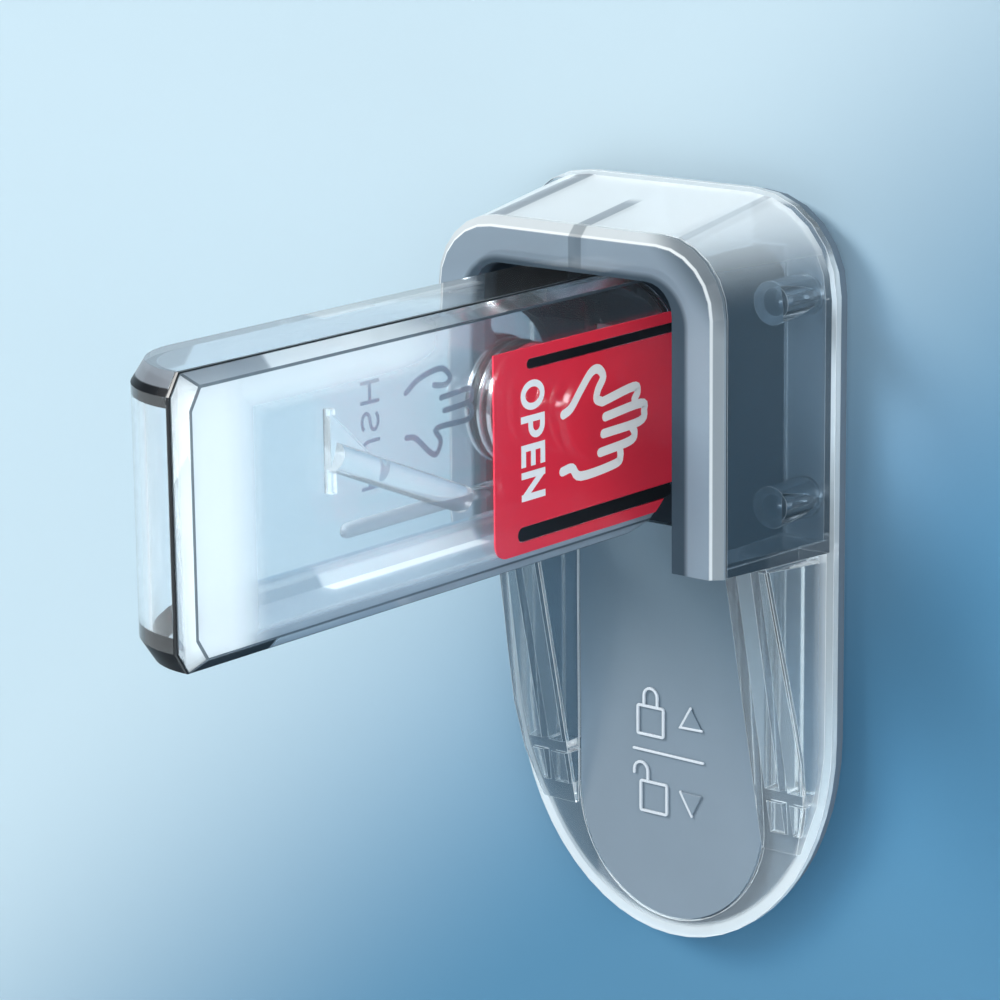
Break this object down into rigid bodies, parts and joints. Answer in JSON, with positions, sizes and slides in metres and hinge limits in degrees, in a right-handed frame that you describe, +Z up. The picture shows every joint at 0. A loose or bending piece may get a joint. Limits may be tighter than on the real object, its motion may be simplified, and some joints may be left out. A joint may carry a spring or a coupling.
{
  "type": "door lever lock",
  "caption": "Child-safety lock for a lever door handle: a clear arm stands out under the lever, is pushed sideways against a spring and swings down into the channel of an adhesive base.",
  "frame": {"origin": "middle of the adhesive pad's face on the door", "axes": "+X to the right as seen from the room, +Y into the door, +Z up"},
  "size_m": [0.054, 0.1021, 0.1066],
  "materials": {
    "clear_plastic": "clear, polished",
    "smoke_plastic": "smoke tint, polished",
    "grey_panel": "satin",
    "adhesive_foam": "matt foam",
    "dark_seal": "satin",
    "red_film": "gloss film",
    "white_acetal": "satin",
    "plated_steel": "bright plated"
  },
  "bodies": {
    "base": {"adhesive_pad": "adhesive_foam", "back_plate": "smoke_plastic", "base_frame": "clear_plastic", "channel_panel": "grey_panel", "mouth_frame": "smoke_plastic", "housing_hood": "clear_plastic", "housing_screw_1": "plated_steel", "housing_screw_2": "plated_steel", "housing_screw_3": "plated_steel", "housing_screw_4": "plated_steel", "frame_screw_1": "plated_steel", "frame_screw_2": "plated_steel", "pivot_bolt": "plated_steel", "grub_screw": "plated_steel", "return_spring": "plated_steel"},
    "carriage": {"pivot_bush": "white_acetal"},
    "arm": {"arm_shell": "clear_plastic", "spring_cup": "plated_steel", "arm_seal": "dark_seal", "arm_cover": "clear_plastic", "open_label": "red_film", "lock_peg": "plated_steel"}
  },
  "joints": [
    {"name": "arm_push", "type": "slide", "parent": "base", "child": "carriage", "axis": [1, 0, 0], "range_m": [0, 0.006], "stiffness_N_per_m": 1300, "springref_m": -0.002, "deforming": ["return_spring"]},
    {"name": "arm_swing", "type": "hinge", "parent": "carriage", "child": "arm", "pos_m": [0, -0.0228, 0.0245], "axis": [1, 0, 0], "range_deg": [0, 90]}
  ]
}
